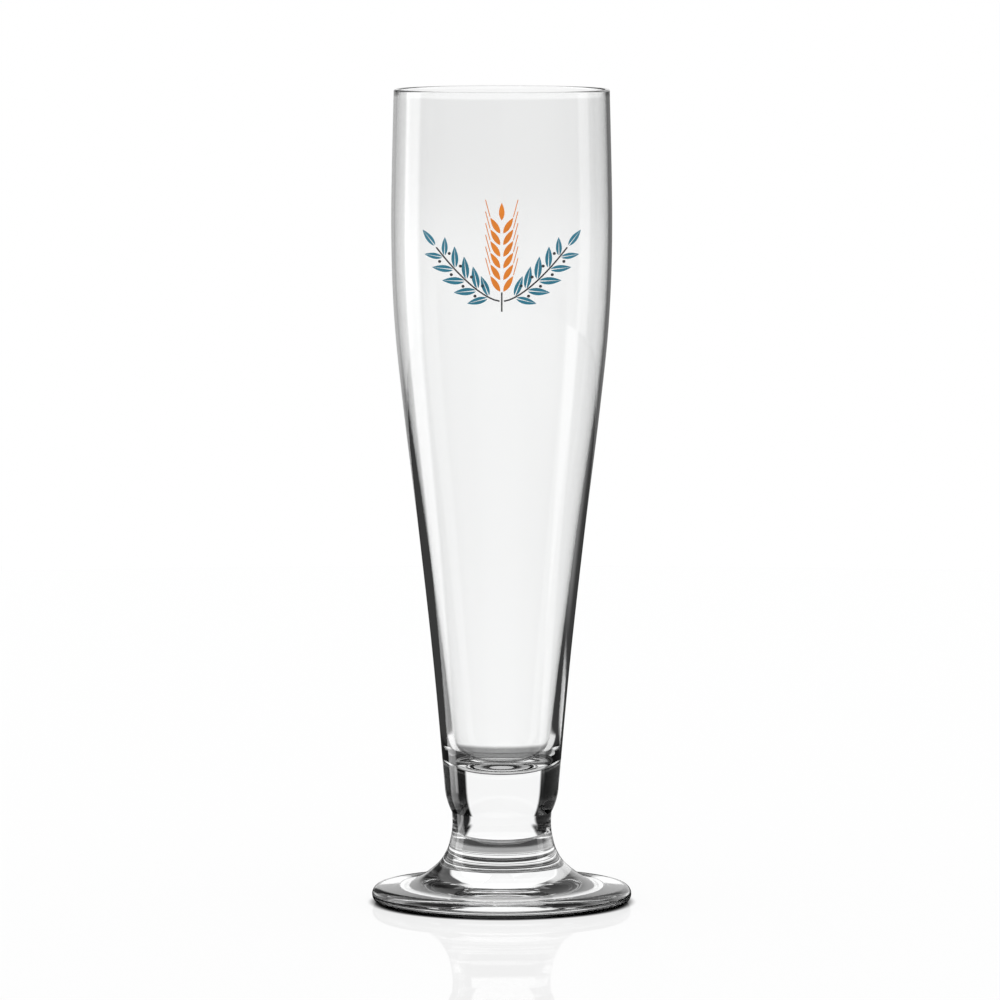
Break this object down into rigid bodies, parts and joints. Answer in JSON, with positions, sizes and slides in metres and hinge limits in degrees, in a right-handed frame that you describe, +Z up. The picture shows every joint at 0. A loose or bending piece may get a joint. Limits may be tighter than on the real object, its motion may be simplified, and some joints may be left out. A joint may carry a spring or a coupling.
{
  "type": "footed beer glass",
  "caption": "Tall slender clear glass for beer: a narrow cone that turns upright near the rim, on a solid base, a short column and a round foot.",
  "frame": {"origin": "on the axis of the glass, in the plane that the foot stands on", "axes": "+Z up along the axis towards the rim; -Y towards the viewer of the picture, where the print is; +X to the viewer's right"},
  "size_m": [0.075, 0.075, 0.235],
  "materials": {
    "bowl_glass": "clear blown glass, fire polished",
    "foot_glass": "clear pressed glass, fire polished",
    "print_teal": "fired enamel ink, satin",
    "print_orange": "fired enamel ink, satin",
    "print_grey": "fired enamel ink, satin"
  },
  "bodies": {
    "root": {"bowl": "bowl_glass", "foot": "foot_glass"}
  },
  "joints": []
}
